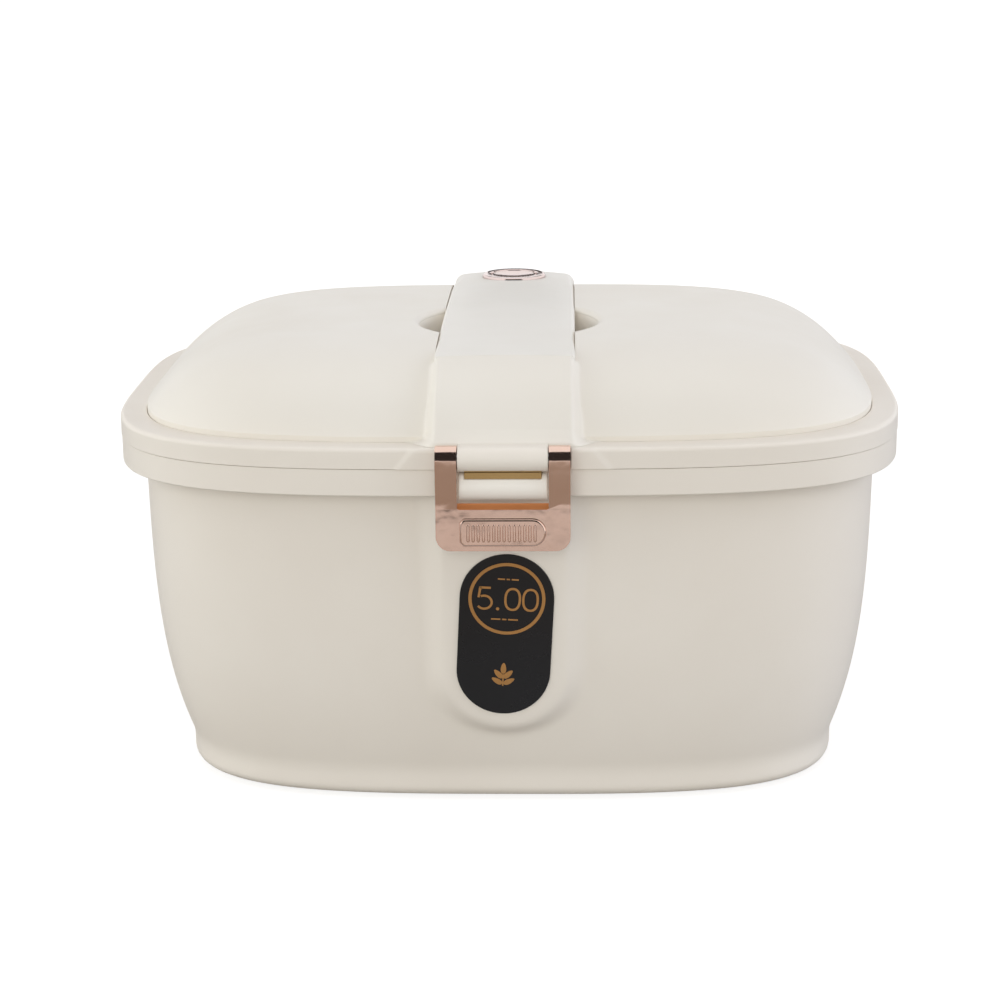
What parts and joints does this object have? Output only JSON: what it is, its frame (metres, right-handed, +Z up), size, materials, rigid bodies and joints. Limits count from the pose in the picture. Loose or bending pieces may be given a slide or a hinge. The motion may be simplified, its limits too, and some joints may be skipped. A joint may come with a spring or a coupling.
{
  "type": "rice bin with flip lid",
  "caption": "Oval rice bin with a barrel-sided tub, a domed lid hinged at the back, a front snap latch, a carrying handle over a finger well and a push button air vent.",
  "frame": {"origin": "middle of the base, on the surface that the rubber pads stand on", "axes": "+X across the bin to the right, +Y from the latch to the hinge, +Z up"},
  "size_m": [0.3, 0.248, 0.1741],
  "materials": {
    "cream_shell": "satin moulded cream plastic",
    "rose_gold": "bright rose gold plating",
    "label_black": "smooth black film",
    "label_gold": "gold print",
    "silicone": "soft translucent white silicone",
    "pad_rubber": "grey rubber",
    "steel": "plain steel"
  },
  "bodies": {
    "bin": {"tub": "cream_shell", "foot_pads": "pad_rubber", "collar": "cream_shell", "catch": "cream_shell", "collar_screws": "steel", "hinge_pins": "steel", "label_plate": "label_black", "label_ring": "label_gold"},
    "lid": {"lid_rim": "cream_shell", "lid_dome": "cream_shell", "finger_well": "cream_shell", "lid_liner": "cream_shell", "lid_seal": "silicone", "liner_screws": "steel", "handle": "cream_shell", "handle_screws": "steel", "button_bezel": "rose_gold", "valve_guide": "cream_shell", "button_spring": "steel", "latch_pin": "steel"},
    "latch": {"latch_frame": "rose_gold"},
    "button": {"button_cap": "rose_gold", "valve_stem": "steel", "valve_disc": "silicone", "stem_nut": "steel"}
  },
  "joints": [
    {"name": "lid_hinge", "type": "hinge", "parent": "bin", "child": "lid", "pos_m": [0, 0.12, 0.1353], "axis": [-1, 0, 0], "range_deg": [0, 100]},
    {"name": "latch_hinge", "type": "hinge", "parent": "lid", "child": "latch", "pos_m": [0, -0.118, 0.14], "axis": [-1, 0, 0], "range_deg": [0, 110]},
    {"name": "button_press", "type": "slide", "parent": "lid", "child": "button", "axis": [0, 0, -1], "range_m": [0, 0.0025], "stiffness_N_per_m": 400, "springref_m": -0.004, "deforming": ["button_spring"]}
  ]
}
